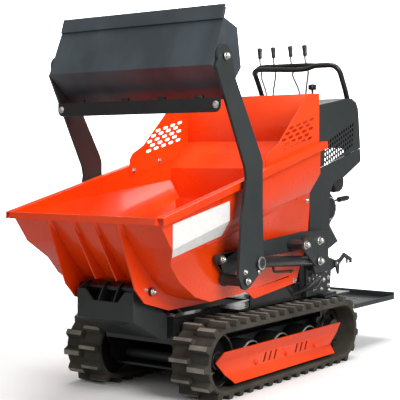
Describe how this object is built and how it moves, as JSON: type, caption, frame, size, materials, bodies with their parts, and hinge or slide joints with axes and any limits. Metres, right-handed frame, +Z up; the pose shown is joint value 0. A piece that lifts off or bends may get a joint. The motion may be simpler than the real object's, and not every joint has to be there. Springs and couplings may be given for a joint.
{
  "type": "self-loading tracked power wheelbarrow",
  "caption": "Tracked mini dumper with a tipping orange skip, raised loading shovel on bent arms, rear lever console and fold-down rider platform.",
  "frame": {"origin": "on the ground, bottom centre of the whole machine with the platform down", "axes": "-Y is the front (skip lip), +X the machine's left side, +Z up"},
  "size_m": [0.866, 2.045, 1.5073],
  "materials": {
    "orange_paint": "glossy powder coat",
    "grey_paint": "satin powder coat",
    "shovel_paint": "satin blue-grey paint, lightly brushed",
    "black_paint": "satin black paint",
    "zinc_plate": "zinc plated or hard chromed",
    "engine_metal": "cast, painted dark",
    "valve_metal": "machined",
    "black_plastic": "fine moulded grain",
    "track_rubber": "moulded rubber with dust"
  },
  "bodies": {
    "chassis": {"chassis_frame": "grey_paint", "front_pivot_bracket": "grey_paint", "front_cross_tube": "grey_paint", "tip_pivot_shaft": "zinc_plate", "console_cover": "grey_paint", "handlebar": "black_paint", "control_valve": "valve_metal", "engine_block": "engine_metal", "air_filter": "black_plastic", "recoil_starter": "black_plastic", "left_arm_beam": "grey_paint", "left_link_plate": "grey_paint", "left_rear_bracket": "grey_paint", "left_console_frame": "grey_paint", "left_track_frame": "grey_paint", "left_track_belt": "track_rubber", "left_track_guard": "orange_paint", "right_arm_beam": "grey_paint", "right_link_plate": "grey_paint", "right_rear_bracket": "grey_paint", "right_console_frame": "grey_paint", "right_track_frame": "grey_paint", "right_track_belt": "track_rubber", "right_track_guard": "orange_paint"},
    "skip": {"skip_tub": "orange_paint", "skip_extension": "orange_paint"},
    "loader_arm": {"left_arm": "grey_paint", "right_arm": "grey_paint", "arm_crossbar": "grey_paint"},
    "shovel_bucket": {"shovel": "shovel_paint", "cutting_edge": "shovel_paint"},
    "ram_barrel": {"tip_ram_barrel": "black_paint"},
    "ram_rod": {"tip_ram_rod": "zinc_plate"},
    "operator_platform": {"platform": "grey_paint"},
    "platform_latch": {"platform_hook": "grey_paint"},
    "throttle": {"throttle_knob": "black_plastic"},
    "left_lift_barrel_body": {"left_lift_barrel": "black_paint"},
    "left_lift_rod_body": {"left_lift_rod": "zinc_plate"},
    "left_sprocket_body": {"left_drive_sprocket": "black_paint"},
    "left_idler_wheel_body": {"left_idler_wheel": "black_paint"},
    "left_road_wheel_1_body": {"left_road_wheel_1": "black_paint"},
    "left_road_wheel_2_body": {"left_road_wheel_2": "black_paint"},
    "left_road_wheel_3_body": {"left_road_wheel_3": "black_paint"},
    "right_lift_barrel_body": {"right_lift_barrel": "black_paint"},
    "right_lift_rod_body": {"right_lift_rod": "zinc_plate"},
    "right_sprocket_body": {"right_drive_sprocket": "black_paint"},
    "right_idler_wheel_body": {"right_idler_wheel": "black_paint"},
    "right_road_wheel_1_body": {"right_road_wheel_1": "black_paint"},
    "right_road_wheel_2_body": {"right_road_wheel_2": "black_paint"},
    "right_road_wheel_3_body": {"right_road_wheel_3": "black_paint"},
    "lever_1": {"lever_1_rod": "zinc_plate", "lever_1_knob": "black_plastic"},
    "lever_2": {"lever_2_rod": "zinc_plate", "lever_2_knob": "black_plastic"},
    "lever_3": {"lever_3_rod": "zinc_plate", "lever_3_knob": "black_plastic"},
    "lever_4": {"lever_4_rod": "zinc_plate", "lever_4_knob": "black_plastic"}
  },
  "joints": [
    {"name": "skip_tip", "type": "hinge", "parent": "chassis", "child": "skip", "pos_m": [0, -0.8145, 0.437], "axis": [1, 0, 0], "range_deg": [0, 27]},
    {"name": "arm_swing", "type": "hinge", "parent": "chassis", "child": "loader_arm", "pos_m": [0, -0.5415, 0.467], "axis": [1, 0, 0], "range_deg": [0, 109]},
    {"name": "shovel_tilt", "type": "hinge", "parent": "loader_arm", "child": "shovel_bucket", "pos_m": [0, -0.6825, 1.311], "axis": [1, 0, 0], "range_deg": [0, 20]},
    {"name": "ram_swing", "type": "hinge", "parent": "chassis", "child": "ram_barrel", "pos_m": [0, -0.2605, 0.19], "axis": [1, 0, 0], "range_deg": [-18, 0.5]},
    {"name": "ram_stroke", "type": "slide", "parent": "ram_barrel", "child": "ram_rod", "axis": [0, -0.8519, 0.5237], "range_m": [-0.002, 0.088]},
    {"name": "left_lift_swing", "type": "hinge", "parent": "chassis", "child": "left_lift_barrel_body", "pos_m": [0.377, 0.0395, 0.498], "axis": [1, 0, 0], "range_deg": [-0.2, 0.8]},
    {"name": "left_lift_stroke", "type": "slide", "parent": "left_lift_barrel_body", "child": "left_lift_rod_body", "axis": [0, -0.998, 0.0634], "range_m": [-0.002, 0.185]},
    {"name": "left_drive", "type": "hinge", "parent": "chassis", "child": "left_sprocket_body", "pos_m": [0.263, 0.3505, 0.154], "axis": [1, 0, 0], "continuous": true},
    {"name": "left_idler_wheel_spin", "type": "hinge", "parent": "chassis", "child": "left_idler_wheel_body", "pos_m": [0.263, -0.5715, 0.154], "axis": [1, 0, 0], "continuous": true},
    {"name": "left_road_wheel_1_spin", "type": "hinge", "parent": "chassis", "child": "left_road_wheel_1_body", "pos_m": [0.263, -0.3355, 0.123], "axis": [1, 0, 0], "continuous": true},
    {"name": "left_road_wheel_2_spin", "type": "hinge", "parent": "chassis", "child": "left_road_wheel_2_body", "pos_m": [0.263, -0.1055, 0.123], "axis": [1, 0, 0], "continuous": true},
    {"name": "left_road_wheel_3_spin", "type": "hinge", "parent": "chassis", "child": "left_road_wheel_3_body", "pos_m": [0.263, 0.1245, 0.123], "axis": [1, 0, 0], "continuous": true},
    {"name": "right_lift_swing", "type": "hinge", "parent": "chassis", "child": "right_lift_barrel_body", "pos_m": [-0.377, 0.0395, 0.498], "axis": [1, 0, 0], "range_deg": [-0.2, 0.8]},
    {"name": "right_lift_stroke", "type": "slide", "parent": "right_lift_barrel_body", "child": "right_lift_rod_body", "axis": [0, -0.998, 0.0634], "range_m": [-0.002, 0.185]},
    {"name": "right_drive", "type": "hinge", "parent": "chassis", "child": "right_sprocket_body", "pos_m": [-0.263, 0.3505, 0.154], "axis": [1, 0, 0], "continuous": true},
    {"name": "right_idler_wheel_spin", "type": "hinge", "parent": "chassis", "child": "right_idler_wheel_body", "pos_m": [-0.263, -0.5715, 0.154], "axis": [1, 0, 0], "continuous": true},
    {"name": "right_road_wheel_1_spin", "type": "hinge", "parent": "chassis", "child": "right_road_wheel_1_body", "pos_m": [-0.263, -0.3355, 0.123], "axis": [1, 0, 0], "continuous": true},
    {"name": "right_road_wheel_2_spin", "type": "hinge", "parent": "chassis", "child": "right_road_wheel_2_body", "pos_m": [-0.263, -0.1055, 0.123], "axis": [1, 0, 0], "continuous": true},
    {"name": "right_road_wheel_3_spin", "type": "hinge", "parent": "chassis", "child": "right_road_wheel_3_body", "pos_m": [-0.263, 0.1245, 0.123], "axis": [1, 0, 0], "continuous": true},
    {"name": "platform_fold", "type": "hinge", "parent": "chassis", "child": "operator_platform", "pos_m": [0, 0.5795, 0.235], "axis": [1, 0, 0], "range_deg": [0, 88]},
    {"name": "hook_swing", "type": "hinge", "parent": "chassis", "child": "platform_latch", "pos_m": [0.294, 0.3975, 0.452], "axis": [1, 0, 0], "range_deg": [-12, 25]},
    {"name": "lever_1_tilt", "type": "hinge", "parent": "chassis", "child": "lever_1", "pos_m": [-0.204, 0.5795, 1.16], "axis": [1, 0, 0], "range_deg": [-12, 5], "stiffness_Nm_per_rad": 4},
    {"name": "lever_2_tilt", "type": "hinge", "parent": "chassis", "child": "lever_2", "pos_m": [-0.161, 0.5795, 1.16], "axis": [1, 0, 0], "range_deg": [-12, 5], "stiffness_Nm_per_rad": 4},
    {"name": "lever_3_tilt", "type": "hinge", "parent": "chassis", "child": "lever_3", "pos_m": [-0.013, 0.5795, 1.16], "axis": [1, 0, 0], "range_deg": [-12, 5], "stiffness_Nm_per_rad": 4},
    {"name": "lever_4_tilt", "type": "hinge", "parent": "chassis", "child": "lever_4", "pos_m": [0.026, 0.5795, 1.16], "axis": [1, 0, 0], "range_deg": [-12, 5], "stiffness_Nm_per_rad": 4},
    {"name": "throttle_turn", "type": "hinge", "parent": "chassis", "child": "throttle", "pos_m": [0.079, 0.5495, 1.25], "axis": [0, 0, 1], "range_deg": [-135, 135]}
  ],
  "couplings": [
    {"joint": "ram_swing", "follows": "skip_tip", "ratio": -0.644},
    {"joint": "ram_stroke", "follows": "skip_tip", "m_per_rad": 0.1821},
    {"joint": "left_lift_swing", "follows": "arm_swing", "ratio": 0.0045},
    {"joint": "left_lift_stroke", "follows": "arm_swing", "m_per_rad": 0.0956},
    {"joint": "left_idler_wheel_spin", "follows": "left_drive", "ratio": 1},
    {"joint": "left_road_wheel_1_spin", "follows": "left_drive", "ratio": 1.3913},
    {"joint": "left_road_wheel_2_spin", "follows": "left_drive", "ratio": 1.3913},
    {"joint": "left_road_wheel_3_spin", "follows": "left_drive", "ratio": 1.3913},
    {"joint": "right_lift_swing", "follows": "arm_swing", "ratio": 0.0045},
    {"joint": "right_lift_stroke", "follows": "arm_swing", "m_per_rad": 0.0956},
    {"joint": "right_idler_wheel_spin", "follows": "right_drive", "ratio": 1},
    {"joint": "right_road_wheel_1_spin", "follows": "right_drive", "ratio": 1.3913},
    {"joint": "right_road_wheel_2_spin", "follows": "right_drive", "ratio": 1.3913},
    {"joint": "right_road_wheel_3_spin", "follows": "right_drive", "ratio": 1.3913}
  ]
}
